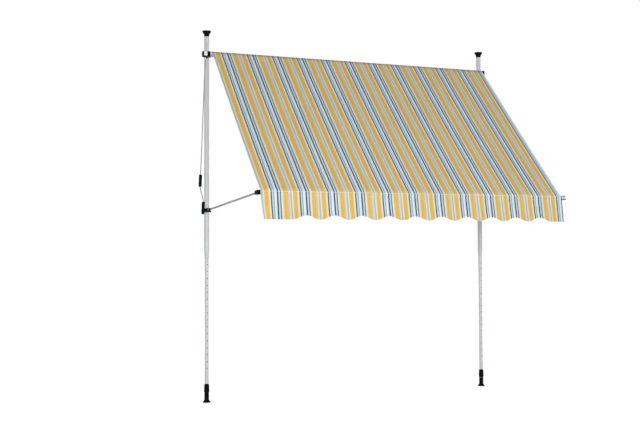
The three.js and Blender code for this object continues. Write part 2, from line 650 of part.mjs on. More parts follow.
function buildCrank(eye, lean, lead) {
  const crank = new THREE.Group();
  crank.position.set(...eye);
  crank.rotation.y = lean;
  awning.add(crank);
  const wormMiddle = eyeDrop / Math.cos(lean);
  const root = wormPitchRadius - threadDedendum;
  const ends = [wormMiddle - wormLength / 2, wormMiddle + wormLength / 2];
  const thread = radialBody((angle, z) => {
    const place = (z - wormMiddle) / lead - angle / (2 * Math.PI) - 0.25 + 0.5;
    const fade = Math.min(1, (z - ends[0]) / 2, (ends[1] - z) / 2);
    return root + (threadAddendum + threadDedendum) * threadHeight(place) * Math.max(0, fade);
  }, ...ends, 18, 20);
  const ring = new THREE.TorusGeometry(eyeRadius, eyeWire, 8, 16).rotateX(Math.PI / 2);
  const worm = join(
    rod(wormShaftRadius, [0, 0, eyeRadius], [0, 0, wormShaftTop]),
    thread,
    ring,
  );
  add('worm_shaft', worm, 'zinc', crank);

  const hookRadius = eyeWire + hookWire + gap;
  const hookPath = new THREE.CatmullRomCurve3([
    new THREE.Vector3(0, hookRadius, -eyeRadius - 8),
    new THREE.Vector3(0, hookRadius, -eyeRadius),
    new THREE.Vector3(0, hookRadius * 0.7, -eyeRadius + hookRadius * 0.7),
    new THREE.Vector3(0, 0, -eyeRadius + hookRadius),
    new THREE.Vector3(0, -hookRadius * 0.7, -eyeRadius + hookRadius * 0.7),
    new THREE.Vector3(0, -hookRadius, -eyeRadius),
    new THREE.Vector3(0, -hookRadius, -eyeRadius - 6),
    new THREE.Vector3(0, -1, -eyeRadius - 18),
    new THREE.Vector3(0, 0, -hookLength),
  ]);
  const wire = new THREE.Shape();
  wire.absarc(0, 0, hookWire, 0, 2 * Math.PI);
  const hook = new THREE.ExtrudeGeometry(wire, {
    steps: 20, bevelEnabled: false, curveSegments: 4, extrudePath: hookPath,
  });
  const bend = THREE.MathUtils.degToRad(handleAngle);
  const offset = [handleOffset * Math.cos(bend), handleOffset * Math.sin(bend)];
  const linkTop = [0, 0, -upperGripDrop - gripLength - 4];
  const linkEnd = [...offset, -handleDrop + 4];
  const rodEnd = [...offset, -handleDrop - gripLength - 2];
  const knee = (point) => new THREE.SphereGeometry(crankRodRadius, 12, 6).translate(...point);
  const crankRod = join(
    hook,
    rod(crankRodRadius, [0, 0, -hookLength + 4], linkTop, 12),
    knee(linkTop),
    rod(crankRodRadius, linkTop, linkEnd, 12),
    knee(linkEnd),
    rod(crankRodRadius, linkEnd, rodEnd, 12),
    rod(crankRodRadius + 3, [...offset, rodEnd[2] + 1.5], [...offset, rodEnd[2] - 1.5], 14),
  );
  add('crank_rod', crankRod, 'greyPaint', crank);

  const bore = crankRodRadius + gap;
  const grip = [
    [bore, -gripLength], [gripRadius - 4, -gripLength], [gripRadius - 1, -gripLength + 2],
    [gripRadius, -gripLength + 6], [gripRadius, -6], [gripRadius - 1, -2], [gripRadius - 4, 0],
    [bore, 0], [bore, -gripLength],
  ];
  add('crank_upper_grip', turned(grip, 18).translate(0, 0, -upperGripDrop), 'blackPlastic', crank);
  add('crank_lower_grip', turned(grip, 18).translate(...offset, -handleDrop), 'blackPlastic', crank);
}

function buildFrontBar() {
  const bar = new THREE.Group();
  bar.position.set(0, barY, barZ);
  awning.add(bar);
  const bore = barRadius - tubeWall;
  const barEnds = [barShift - barHalf, barShift + barHalf];
  add('front_bar_tube', tube(barRadius, bore, [barEnds[0], 0, 0], [barEnds[1], 0, 0], 24), 'whitePaint', bar);
  for (const [side, way] of [['left', -1], ['right', 1]]) {
    const end = barShift + way * (barHalf + gap);
    const cap = join(
      rod(barRadius, [end, 0, 0], [end + way * barCapThickness, 0, 0], 24),
      rod(bore - gap, [end + way, 0, 0], [end - way * 18, 0, 0]),
    );
    add(`${side}_bar_cap`, cap, 'whitePlastic', bar);
  }

  // Pocket around the bar, drawn together in the seam below it, with the valance hanging from the seam.
  const seam = [-pocketRadius, -pocketSeamDrop];
  const reach = Math.hypot(...seam);
  const backTangent = Math.atan2(seam[1], seam[0]) + Math.acos(pocketRadius / reach);
  const pocket = new THREE.Shape();
  pocket.moveTo(-pocketRadius, 0);
  pocket.lineTo(...seam);
  pocket.lineTo(seam[0] + pocketThickness, seam[1]);
  pocket.absarc(0, 0, pocketRadius, backTangent, Math.PI);
  const bore2 = new THREE.Path();
  bore2.absarc(0, 0, pocketBore, 0, 2 * Math.PI, true);
  pocket.holes.push(bore2);

  const columns = 96;
  const rows = 2;
  const firstArch = lobeCentre - 4.5 * scallopPitch;
  const lastArch = lobeCentre + 4.5 * scallopPitch;
  const top = -pocketSeamDrop + 4;
  const rings = [];
  for (let i = 0; i <= columns; i += 1) {
    const x = THREE.MathUtils.lerp(clothLeft, valanceRight, i / columns);
    const phase = (2 * Math.PI * (x - lobeCentre)) / scallopPitch;
    const scalloped = x > firstArch - scallopPitch / 2 && x < lastArch + scallopPitch / 2;
    const lift = scalloped ? (scallopDepth * (1 - Math.cos(phase))) / 2 : 0;
    const bottom = -valanceDrop + lift;
    const endShare = Math.max(0, 1 - (x - clothLeft) / cornerReach);
    const front = [];
    const back = [];
    for (let j = 0; j <= rows; j += 1) {
      const share = j / rows;
      const z = THREE.MathUtils.lerp(top, bottom, share);
      const y = -pocketRadius - share * (valanceLean + waveDepth * (0.5 + 0.5 * Math.cos(phase)));
      const drawnX = x + cornerDraw * (endShare * share) ** 2;
      front.push([y, z, drawnX]);
      back.unshift([y + pocketThickness, z, drawnX]);
    }
    rings.push([...front, ...back]);
  }
  const yzx = new THREE.Matrix4().makeBasis(
    new THREE.Vector3(0, 1, 0),
    new THREE.Vector3(0, 0, 1),
    new THREE.Vector3(1, 0, 0),
  );
  const valance = loft(rings).applyMatrix4(yzx);
  add('pocket_and_valance', join(alongX(pocket, clothLeft, valanceRight, 9), valance), 'cloth', bar);
}

// The canopy touches the roll and the pocket on their upper front sides.
const rollerToBar = Math.atan2(barZ - rollerHeight, barY - rollerY);
const centreDistance = Math.hypot(barZ - rollerHeight, barY - rollerY);
const tangentAngle = rollerToBar - Math.acos((rollRadius - pocketRadius) / centreDistance);

function buildCanopy() {
  const normal = [Math.cos(tangentAngle), Math.sin(tangentAngle)];
  const start = [rollerY + (rollRadius + gap) * normal[0], rollerHeight + (rollRadius + gap) * normal[1]];
  const end = [barY + (pocketRadius + gap) * normal[0], barZ + (pocketRadius + gap) * normal[1]];
  const steps = 8;
  const outline = new THREE.Shape();
  const place = (share, lift) => {
    const height = lift - 4 * canopySag * share * (1 - share);
    return [
      THREE.MathUtils.lerp(start[0], end[0], share) + normal[0] * height,
      THREE.MathUtils.lerp(start[1], end[1], share) + normal[1] * height,
    ];
  };
  outline.moveTo(...place(0, 0));
  for (let i = 1; i <= steps; i += 1) outline.lineTo(...place(i / steps, 0));
  for (let i = steps; i >= 0; i -= 1) outline.lineTo(...place(i / steps, clothThickness));
  add('canopy_cloth', alongX(outline, clothLeft, roofRight), 'cloth');
}

for (const [side, out] of [['left', -1], ['right', 1]]) {
  const x = out * postX;
  buildFoot(side, x);
  buildPost(side, x);
  buildRollerClamp(side, x, out);
  buildArmClamp(side, x, out);
  buildArm(side, x);
}
const roller = buildRoller();
buildGearbox(roller);
buildFrontBar();
buildCanopy();

export default awning;
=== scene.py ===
# Looks of a free-standing clamp awning with a striped cloth. Sizes are written in millimetres and brought to
# metres when a piece is finished; +Z is up, +X runs along the roller and the cloth slopes forward towards -Y.
import json
import math

import bmesh
import bpy
from mathutils import Matrix, Vector


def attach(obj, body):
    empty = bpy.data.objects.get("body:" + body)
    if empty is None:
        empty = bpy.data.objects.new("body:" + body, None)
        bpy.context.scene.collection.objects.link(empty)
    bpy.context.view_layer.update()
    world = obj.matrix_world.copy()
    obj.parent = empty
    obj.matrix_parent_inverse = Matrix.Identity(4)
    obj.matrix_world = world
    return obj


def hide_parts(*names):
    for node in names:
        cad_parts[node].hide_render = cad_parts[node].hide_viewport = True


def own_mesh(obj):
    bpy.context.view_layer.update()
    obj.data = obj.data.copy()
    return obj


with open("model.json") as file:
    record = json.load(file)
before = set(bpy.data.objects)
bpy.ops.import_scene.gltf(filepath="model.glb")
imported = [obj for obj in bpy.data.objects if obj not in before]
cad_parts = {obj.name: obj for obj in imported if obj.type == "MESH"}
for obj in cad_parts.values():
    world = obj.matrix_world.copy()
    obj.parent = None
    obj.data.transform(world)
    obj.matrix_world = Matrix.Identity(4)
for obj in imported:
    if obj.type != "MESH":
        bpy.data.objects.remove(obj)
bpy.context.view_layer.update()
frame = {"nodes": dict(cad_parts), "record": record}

MM = 0.001
GAP = 0.3
BODIES = frame["record"]["behaviour"]["bodies"]
BODY_OF = {node: body for body, nodes in BODIES.items() for node in nodes}

# Camera, at the photograph's angle

YAW, PITCH, ROLL = math.radians(22.61), math.radians(2.08), math.radians(-0.22)
EYE_POINT = Vector((-3.354, -7.443, 1.085))
FOCAL_PIXELS, FRAME_WIDTH, SENSOR_WIDTH = 1062.8, 640, 36.0


def make_camera():
    ahead = Vector((math.sin(YAW) * math.cos(PITCH), math.cos(YAW) * math.cos(PITCH), math.sin(PITCH)))
    level = Vector((math.cos(YAW), -math.sin(YAW), 0))
    upright = level.cross(ahead)
    right = level * math.cos(ROLL) + upright * math.sin(ROLL)
    up = upright * math.cos(ROLL) - level * math.sin(ROLL)
    lens = bpy.data.cameras.new("photo_camera")
    lens.sensor_width = SENSOR_WIDTH
    lens.lens = FOCAL_PIXELS / FRAME_WIDTH * SENSOR_WIDTH
    lens.clip_start, lens.clip_end = 0.05, 200
    camera = bpy.data.objects.new("photo_camera", lens)
    turn = Matrix((right, up, -ahead)).transposed().to_4x4()
    camera.matrix_world = Matrix.Translation(EYE_POINT) @ turn
    bpy.context.scene.collection.objects.link(camera)
    bpy.context.scene.camera = camera


make_camera()

# Sizes, as in the solids

ROOM, POST_X = 2700, 1146.5
ROLLER_Y, ROLLER_Z = -92, 2514
PIVOT_Y, PIVOT_Z = -85, 1392
ARM_LENGTH, ARM_RISE = 1057.2, math.radians(3.69)
BAR_Y = PIVOT_Y - ARM_LENGTH * math.cos(ARM_RISE)
BAR_Z = PIVOT_Z + ARM_LENGTH * math.sin(ARM_RISE)
BAR_RADIUS, BAR_ENDS = 12.5, (-1145, 1153)
CLOTH = 0.6
CLOTH_LEFT, ROOF_RIGHT, VALANCE_RIGHT = -1136.0, 1114.5, 1123.5
COLLAR_LIFT = 12
KNUCKLE_LENGTH, SOCKET_DEPTH = 40, 18
ROLL_RADIUS = 19.6
UPPER_R, LOWER_R, WALL = 18, 14, 1.2
PIN_Z = 1044
SCALLOP, SCALLOP_DEPTH, LOBE_X = 195, 27, 42
GEAR_X, WORM_Y = -1178, -76
HOUSING_IN, HOUSING_OUT = -1160.8, -1201.8

# Materials


def linear(hex_colour, alpha=1.0):
    parts = [int(hex_colour[i : i + 2], 16) / 255 for i in (1, 3, 5)]
    return (*[c / 12.92 if c <= 0.04045 else ((c + 0.055) / 1.055) ** 2.4 for c in parts], alpha)


def add(material, kind, settings=None, links=None):
    """Adds a node; links maps an input's name or number to a socket or a value."""
    new = material.node_tree.nodes.new(kind)
    for key, value in (settings or {}).items():
        setattr(new, key, value)
    for key, value in (links or {}).items():
        if isinstance(value, bpy.types.NodeSocket):
            material.node_tree.links.new(value, new.inputs[key])
        else:
            new.inputs[key].default_value = value
    return new


def new_material(name):
    material = bpy.data.materials.new(name)
    material.use_nodes = True
    material.node_tree.nodes.clear()
    return material


def surface(material, **inputs):
    names = {key.replace("_", " ").title().replace("Ior", "IOR"): value for key, value in inputs.items()}
    shader = add(material, "ShaderNodeBsdfPrincipled", {}, names)
    add(material, "ShaderNodeOutputMaterial", {}, {"Surface": shader.outputs[0]})


def grained(name, colour, tint, rough, metal, grain_mm, bump, patch_mm, stretch=(1, 1, 1), shine=0.5):
    """A hard surface: two close tones in soft patches, a fine grain in the bump and an uneven gloss."""
    m = new_material(name)
    place = add(m, "ShaderNodeTexCoord").outputs["Object"]
    drawn = add(m, "ShaderNodeMapping", {}, {"Vector": place, "Scale": stretch}).outputs[0]
    patches = add(m, "ShaderNodeTexNoise", {}, {"Vector": drawn, "Scale": 1 / (patch_mm * MM), "Detail": 4})
    grain = add(m, "ShaderNodeTexNoise", {}, {"Vector": drawn, "Scale": 1 / (grain_mm * MM), "Detail": 2})
    tones = add(m, "ShaderNodeMix", {"data_type": "RGBA"}, {
        0: patches.outputs[0], 6: linear(colour), 7: linear(tint)})
    gloss = add(m, "ShaderNodeMapRange", {}, {
        "Value": patches.outputs[0], "From Min": 0.3, "From Max": 0.7,
        "To Min": rough - 0.05, "To Max": rough + 0.06})
    relief = add(m, "ShaderNodeBump", {}, {
        "Strength": bump, "Distance": 0.25 * MM, "Height": grain.outputs[0]})
    surface(m, base_color=tones.outputs[2], roughness=gloss.outputs[0], metallic=metal,
            normal=relief.outputs[0], specular_ior_level=shine)
    return m


# White polyester powder coat on steel tube, sprayed and baked: an even off-white with a faint orange peel.
powder_white = grained("powder_coated_steel_white", "#DBDFE0", "#D4D8D9", 0.36, 0.0, 1.6, 0.10, 60)
# The same coat in silver grey on the thin arm tubes and the crank.
powder_grey = grained("powder_coated_steel_grey", "#A6A8A6", "#9A9C9A", 0.38, 0.0, 1.6, 0.10, 60)
# The bare inside of the drilled tube: mill-dark steel that only shows through its holes.
steel_bare = grained("bare_mild_steel", "#2C2D2E", "#232425", 0.6, 0.3, 1.4, 0.15, 20)
# Glass-filled nylon, injection moulded in an etched tool: near black, fine grain, a soft broad gleam.
nylon_black = grained("moulded_nylon_black", "#08090A", "#0D0E0F", 0.48, 0.0, 0.8, 0.22, 18, shine=0.04)
# Thermoplastic rubber, moulded: matt black grips and soles.
rubber_black = grained("moulded_rubber_black", "#08090A", "#0D0E0F", 0.58, 0.0, 1.1, 0.30, 25, shine=0.04)
# ABS, injection moulded in a polished tool: bright white with a clear gloss.
abs_white = grained("moulded_abs_white", "#F1F2F1", "#ECEDEC", 0.25, 0.0, 2.5, 0.04, 40)
# Steel fasteners, bright zinc plated in a barrel: pale grey metal with a slightly uneven gloss.
zinc = grained("zinc_plated_steel", "#C9CCCE", "#B4B8BB", 0.33, 1.0, 1.2, 0.12, 7)
# Steel strip, hot-dip galvanised and rolled to tube: soft grey spangles drawn out along the tube.
galvanised = grained("galvanised_steel_tube", "#BFC3C6", "#A2A7AA", 0.40, 1.0, 2.0, 0.15, 9, (0.35, 1, 1))
# Cast brass, cut on a hobber: warm yellow metal, satin.
brass = grained("machined_brass", "#C9A55A", "#B08C45", 0.36, 1.0, 0.9, 0.12, 6)

# Stripes of one repeat, in millimetres from the middle of its first dark line: where each starts, and its yarn.
STRIPE_REPEAT = 195.0
STRIPE_START = -92.0
YARNS = {
    "navy": "#3D505B", "slate": "#66777F", "steel": "#9AABB6", "stone": "#B9C0BC", "sky": "#CBDCE9",
    "pearl": "#D6DBD4", "white": "#DFEDF8", "ivory": "#ECE5CF", "cream": "#E6D6A8", "sand": "#D9C99C",
    "straw": "#DFC384", "gold": "#E5BC66",
}
STRIPES = (
    (0, "navy"), (4.5, "sky"), (13.5, "steel"), (20, "white"), (38, "navy"), (47.5, "sky"), (58, "slate"),
    (66, "ivory"), (77, "cream"), (82, "gold"), (105, "straw"), (111, "sand"), (117, "pearl"), (128, "stone"),
    (138.5, "ivory"), (144, "cream"), (149.5, "gold"), (175.5, "cream"), (181, "ivory"), (191, "navy"),
)


def striped_canvas(name, yarns, gleam):
    """Solution-dyed yarn woven plain into an awning canvas: matt bands of colour, a cross-ribbed surface and
    faint slubs along the warp. The real threads are 0.5 mm apart and are drawn 1.6 mm apart here to show."""
    m = new_material(name)
    flat = add(m, "ShaderNodeUVMap", {"uv_map": "cloth"}).outputs[0]
    along = add(m, "ShaderNodeSeparateXYZ", {}, {0: flat})
    repeats = add(m, "ShaderNodeMath", {"operation": "MULTIPLY_ADD"}, {
        0: along.outputs[0], 1: 1 / (STRIPE_REPEAT * MM), 2: -STRIPE_START / STRIPE_REPEAT})
    share = add(m, "ShaderNodeMath", {"operation": "FRACT"}, {0: repeats.outputs[0]})
    bands = add(m, "ShaderNodeValToRGB", {}, {0: share.outputs[0]})
    ramp = bands.color_ramp
    ramp.interpolation = "CONSTANT"
    for i, (start, yarn) in enumerate(STRIPES):
        stop = ramp.elements[i] if i < 1 else ramp.elements.new(start / STRIPE_REPEAT)
        stop.position = start / STRIPE_REPEAT
        stop.color = linear(yarns[yarn])
    ramp.elements.remove(ramp.elements[-1])
    slub_place = add(m, "ShaderNodeMapping", {}, {"Vector": flat, "Scale": (260, 9, 1)})
    slubs = add(m, "ShaderNodeTexNoise", {}, {"Vector": slub_place.outputs[0], "Scale": 1.0, "Detail": 3})
    worn = add(m, "ShaderNodeTexNoise", {}, {"Vector": flat, "Scale": 3.0, "Detail": 3})
    shade = add(m, "ShaderNodeMapRange", {}, {"Value": slubs.outputs[0], "From Min": 0.25, "From Max": 0.75,
                                              "To Min": 0.93, "To Max": 1.05})
    faded = add(m, "ShaderNodeMapRange", {}, {"Value": worn.outputs[0], "From Min": 0.3, "From Max": 0.7,
                                              "To Min": 0.975, "To Max": 1.02})
    both = add(m, "ShaderNodeMath", {"operation": "MULTIPLY"}, {0: shade.outputs[0], 1: faded.outputs[0]})
    toned = add(m, "ShaderNodeVectorMath", {"operation": "SCALE"}, {0: bands.outputs[0], "Scale": both.outputs[0]})
    thread = 0.314 / (1.6 * MM)
    warp = add(m, "ShaderNodeTexWave", {"bands_direction": "X"}, {"Vector": flat, "Scale": thread})
    weft = add(m, "ShaderNodeTexWave", {"bands_direction": "Y"}, {"Vector": flat, "Scale": thread})
    weave = add(m, "ShaderNodeMath", {"operation": "MAXIMUM"}, {0: warp.outputs[1], 1: weft.outputs[1]})
    lumps = add(m, "ShaderNodeMath", {"operation": "ADD"}, {0: weave.outputs[0], 1: slubs.outputs[0]})
    relief = add(m, "ShaderNodeBump", {}, {"Strength": 0.35, "Distance": 0.2 * MM, "Height": lumps.outputs[0]})
    surface(m, base_color=toned.outputs[0], roughness=0.88, normal=relief.outputs[0],
            sheen_weight=gleam, sheen_roughness=0.5, specular_ior_level=0.2)
    return m


canvas = striped_canvas("woven_striped_canvas", YARNS, 0.04)
# The same canvas with each yarn mixed half-way to white: a painted highlight along the folded top edge of the pocket.
HIGHLIGHT_YARNS = {yarn: "#" + "".join(f"{(int(shade[i : i + 2], 16) + 255) // 2:02X}" for i in (1, 3, 5))
              for yarn, shade in YARNS.items()}
canvas_painted_highlight = striped_canvas("woven_striped_canvas_painted_highlight", HIGHLIGHT_YARNS, 0.04)
# Bonded polyester sewing thread, twisted: off-white with a slight sheen.
thread_white = grained("twisted_polyester_thread", "#E6E4DA", "#D6D3C6", 0.6, 0.0, 0.7, 0.3, 4)

# Shaping


def spun(profile, steps=48):
    """Turns [radius, height] pairs about Z."""
    bm = bmesh.new()
    verts = [bm.verts.new((radius, 0, height)) for radius, height in profile]
    edges = [bm.edges.new(pair) for pair in zip(verts, verts[1:])]
    bmesh.ops.spin(bm, geom=verts + edges, cent=(0, 0, 0), axis=(0, 0, 1), angle=math.tau, steps=steps, use_merge=True)
    bmesh.ops.remove_doubles(bm, verts=bm.verts, dist=1e-3)
    bmesh.ops.recalc_face_normals(bm, faces=bm.faces)
    return bm


def stub(radius, length, chamfer=0.6, steps=40):
    """A solid round bar about Z from z = 0, with broken edges."""
    return spun([(0, 0), (radius - chamfer, 0), (radius, chamfer), (radius, length - chamfer),
                 (radius - chamfer, length), (0, length)], steps)


def hollow(outer, inner, bottom, top, steps=48):
    edge = min(0.3, (outer - inner) / 3)
    return spun([(inner, bottom + edge), (inner + edge, bottom), (outer - edge, bottom), (outer, bottom + edge),
                 (outer, top - edge), (outer - edge, top), (inner + edge, top), (inner, top - edge),
                 (inner, bottom + edge)], steps)


def aimed(bm, start, end):
    heading = Vector(end) - Vector(start)
    bm.transform(Matrix.Translation(start) @ heading.to_track_quat("Z", "Y").to_matrix().to_4x4())
    return bm


def bar_between(radius, start, end, chamfer=0.6, steps=40):
    return aimed(stub(radius, (Vector(end) - Vector(start)).length, chamfer, steps), start, end)


def moved(bm, x=0, y=0, z=0):
    bm.transform(Matrix.Translation((x, y, z)))
    return bm


def slab(outline, start, end):
    """Draws a closed [y, z] outline out along X."""
    bm = bmesh.new()
    face = bm.faces.new([bm.verts.new((start, y, z)) for y, z in outline])
    grown = bmesh.ops.extrude_face_region(bm, geom=[face])["geom"]
    bmesh.ops.translate(bm, verts=[g for g in grown if isinstance(g, bmesh.types.BMVert)], vec=(end - start, 0, 0))
    bmesh.ops.recalc_face_normals(bm, faces=bm.faces)
    return bm


def block(x, y, z):
    bm = bmesh.new()
    bmesh.ops.create_cube(bm, size=1)
    bmesh.ops.scale(bm, verts=bm.verts, vec=(x[1] - x[0], y[1] - y[0], z[1] - z[0]))
    return moved(bm, sum(x) / 2, sum(y) / 2, sum(z) / 2)


def arc(y, z, radius, start, end, count=10):
    """Points on a circle from one angle to another, in turns of 180 degrees."""
    angles = [math.pi * (start + (end - start) * i / count) for i in range(count + 1)]
    return [(y + radius * math.cos(a), z + radius * math.sin(a)) for a in angles]


def rounded_rectangle(y, z, radius, count=6):
    return (arc(y[1] - radius, z[0] + radius, radius, -0.5, 0, count)
            + arc(y[1] - radius, z[1] - radius, radius, 0, 0.5, count)
            + arc(y[0] + radius, z[1] - radius, radius, 0.5, 1, count)
            + arc(y[0] + radius, z[0] + radius, radius, 1, 1.5, count))


def combined(operation, base, *tools):
    """Joins, cuts or crosses closed shapes."""
    for tool in tools:
        pair = []
        for shape in (base, tool):
            mesh = bpy.data.meshes.new("shape")
            shape.to_mesh(mesh)
            shape.free()
            pair.append(bpy.data.objects.new("shape", mesh))
            bpy.context.scene.collection.objects.link(pair[-1])
        change = pair[0].modifiers.new("change", "BOOLEAN")
        change.operation, change.solver, change.object = operation, "EXACT", pair[1]
        bpy.context.view_layer.update()
        result = bpy.data.meshes.new_from_object(pair[0].evaluated_get(bpy.context.evaluated_depsgraph_get()))
        base = bmesh.new()
        base.from_mesh(result)
        bmesh.ops.remove_doubles(base, verts=base.verts, dist=1e-3)
        for used in pair:
            used_mesh = used.data
            bpy.data.objects.remove(used)
            bpy.data.meshes.remove(used_mesh)
        bpy.data.meshes.remove(result)
    return base


def joined(base, *tools):
    return combined("UNION", base, *tools)


def bored(base, *tools):
    return combined("DIFFERENCE", base, *tools)


def crossed(base, *tools):
    return combined("INTERSECT", base, *tools)


def finished(name, bm, material, nodes, body=None, bevel=0.0, sharp=40, soften=0):
    """Brings a shape to metres, dresses it and lets it ride on the body of the node that it stands for."""
    bm.transform(Matrix.Scale(MM, 4))
    mesh = bpy.data.meshes.new(name)
    bm.to_mesh(mesh)
    bm.free()
    mesh.materials.append(material)
    mesh.shade_smooth()
    mesh.set_sharp_from_angle(angle=math.radians(sharp))
    piece = bpy.data.objects.new(name, mesh)
    bpy.context.scene.collection.objects.link(piece)
    if bevel:
        edges = piece.modifiers.new("broken_edges", "BEVEL")
        edges.width, edges.segments, edges.limit_method = bevel * MM, 2, "ANGLE"
        edges.angle_limit, edges.harden_normals = math.radians(38), False
    if soften:
        smooth = piece.modifiers.new("smooth", "SUBSURF")
        smooth.levels = smooth.render_levels = soften
    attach(piece, body or BODY_OF[nodes[0]])
    if nodes:
        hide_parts(*nodes)
    return piece


def swept(points, radius, steps=8):
    """A closed round wire through (point, radius share) pairs."""
    curve = bpy.data.curves.new("wire", "CURVE")
    curve.dimensions, curve.bevel_depth, curve.bevel_resolution, curve.use_fill_caps = "3D", radius, steps, True
    line = curve.splines.new("POLY")
    line.points.add(len(points) - 1)
    for spot, (point, share) in zip(line.points, points):
        spot.co, spot.radius = (*point, 1), share
    wire = bpy.data.objects.new("wire", curve)
    bpy.context.scene.collection.objects.link(wire)
    bpy.context.view_layer.update()
    mesh = bpy.data.meshes.new_from_object(wire.evaluated_get(bpy.context.evaluated_depsgraph_get()))
    bm = bmesh.new()
    bm.from_mesh(mesh)
    bmesh.ops.remove_doubles(bm, verts=bm.verts, dist=1e-3)
    bmesh.ops.recalc_face_normals(bm, faces=bm.faces)
    bpy.data.objects.remove(wire)
    bpy.data.curves.remove(curve)
    bpy.data.meshes.remove(mesh)
    return bm


def gathered_up(*shapes):
    """Several closed shapes in one mesh."""
    whole = bmesh.new()
    for shape in shapes:
        mesh = bpy.data.meshes.new("shape")
        shape.to_mesh(mesh)
        shape.free()
        whole.from_mesh(mesh)
        bpy.data.meshes.remove(mesh)
    return whole


# Posts


def make_foot(side, x):
    """Moulded foot with a soft taper onto the floor, and the fluted nut that jacks it down."""
    pad = spun([
        (0, 0), (25.8, 0), (27.1, 0.6), (27.5, 1.8), (27.5, 4.0), (26.9, 6.0), (24.6, 8.8), (21.4, 12.0),
        (19.2, 15.0), (17.7, 17.6), (16.75, 20.5), (16.75, 66.5), (16.3, 67), (16.3, 68), (16.75, 68.5),
        (16.75, 72.2), (15.95, 73), (6.1, 73), (5.3, 72.2), (5.3, 7.5), (0, 7.5)], 64)
    finished(f"{side}_foot", moved(pad, x), nylon_black, [f"{side}_foot_pad"])
    coils = []
    for i in range(17):
        bottom = 74.5 + 3 * i
        coils += [(5.0, bottom), (4.2, bottom + 1.5)]
    screw = spun([(0, 7.8), (4.4, 7.8), (5.0, 8.4), (5.0, 70), *coils, (5.0, 126), (5.0, 199), (4.2, 200), (0, 200)], 32)
    finished(f"{side}_foot_screw", moved(screw, x), zinc, [f"{side}_foot_spindle"])
    nut = spun([
        (5.3, 75.3), (18.3, 75.3), (19.2, 75.9), (19.5, 76.8), (19.5, 79), (19.5, 81.5), (19.45, 83.5),
        (19.15, 90), (18.8, 98), (18.45, 106), (18.1, 114), (17.75, 122), (17.5, 128.6), (17.1, 129.7),
        (16.3, 130.3), (5.3, 130.3), (5.3, 75.3)], 96)
    for v in nut.verts:
        reach = math.hypot(v.co.x, v.co.y)
        if reach > 14:
            hollow_share = max(0, math.cos(12 * math.atan2(v.co.y, v.co.x))) ** 3
            fade = min(1, max(0, (v.co.z - 75.5) / 3)) * min(1, max(0, (88 - v.co.z) / 10))
            v.co.x *= 1 - 1.5 * hollow_share * fade / reach
            v.co.y *= 1 - 1.5 * hollow_share * fade / reach
    finished(f"{side}_adjuster", moved(nut, x), nylon_black, [f"{side}_adjuster_nut"])


def make_post(side, x):
    """Telescopic tube: the lower one drilled every 50 mm, the upper one drawn in at its lower end."""
    plug = spun([
        (5.3, 130.6), (13.4, 130.6), (14, 131.2), (14, 133), (13.6, 133.6), (12.5, 133.6), (12.5, 151.4),
        (11.5, 152.6), (5.3, 152.6), (5.3, 130.6)])
    finished(f"{side}_end_plug", moved(plug, x), nylon_black, [f"{side}_tube_plug"])
    drills = []
    for i in range(17):
        z = 244 + 50 * i
        drills.append(bar_between(3.4, (0, -16, z), (0, 16, z), 0.01, 20))
    lower = bored(hollow(LOWER_R, LOWER_R - WALL, 133.9, 1297), gathered_up(*drills))
    drilled = finished(f"{side}_drilled_tube", moved(lower, x), powder_white, [f"{side}_lower_tube"])
    drilled.data.materials.append(steel_bare)
    for face in drilled.data.polygons:
        if math.hypot(face.center.x / MM - x, face.center.y / MM) < LOWER_R - WALL + 0.3:
            face.material_index = 1
    pin = spun([
        (0, 0), (3.2, 0.1), (4.4, 0.5), (5, 1.2), (5, 2), (4.8, 2.2), (2.7, 2.2), (2.7, 34.6), (2.2, 35.6), (0, 35.6)], 28)
    finished(f"{side}_cross_pin", aimed(pin, (x, -17.8, PIN_Z), (x, 17.8, PIN_Z)), zinc, [f"{side}_height_pin"])
    low = PIN_Z + 2.7 + GAP
    upper = spun([
        (14.3, low + 0.2), (14.6, low), (15.2, low), (15.5, low + 0.4), (15.5, low + 8), (15.7, low + 13),
        (16.4, low + 24), (17.3, low + 37), (17.85, low + 45), (18, low + 50), (18, 2657.3), (17.7, 2657.7),
        (17, 2657.7), (16.8, 2657.4), (16.8, low + 50), (16.65, low + 45), (16.1, low + 37), (15.2, low + 24),
        (14.5, low + 13), (14.3, low + 8), (14.3, low + 0.2)], 64)
    finished(f"{side}_drawn_tube", moved(upper, x), powder_white, [f"{side}_upper_tube"])
    pad = spun([
        (0, 2628), (15.6, 2628), (16.5, 2629), (16.5, 2658), (18, 2658), (18.7, 2658.8), (18.7, 2671),
        (19.0, 2673), (20.6, 2675.6), (23.8, 2680.4), (27.2, 2685.6), (29.8, 2689.6), (31.4, 2691.2), (32, 2692.4),
        (32, 2697.6), (31.3, 2699.2), (30, 2700), (0, 2700)], 64)
    finished(f"{side}_ceiling_foot", moved(pad, x), nylon_black, [f"{side}_ceiling_pad"])


# Clamps


def collar(facing, bottom, top):
    """Half of a clamp around the post, with a bolt flange on each side."""
    half = sorted((facing * GAP, facing * 26))
    round_part = crossed(moved(stub(24, top - bottom, 0.9, 64), z=bottom), block((-26, 26), half, (bottom - 1, top + 1)))
    return joined(round_part, block((-33, 33), sorted((facing * GAP, facing * 6)), (bottom, top)))


def post_bore(bottom, top):
    return moved(stub(18.3, top - bottom + 40, 0.1, 64), z=bottom - 20)


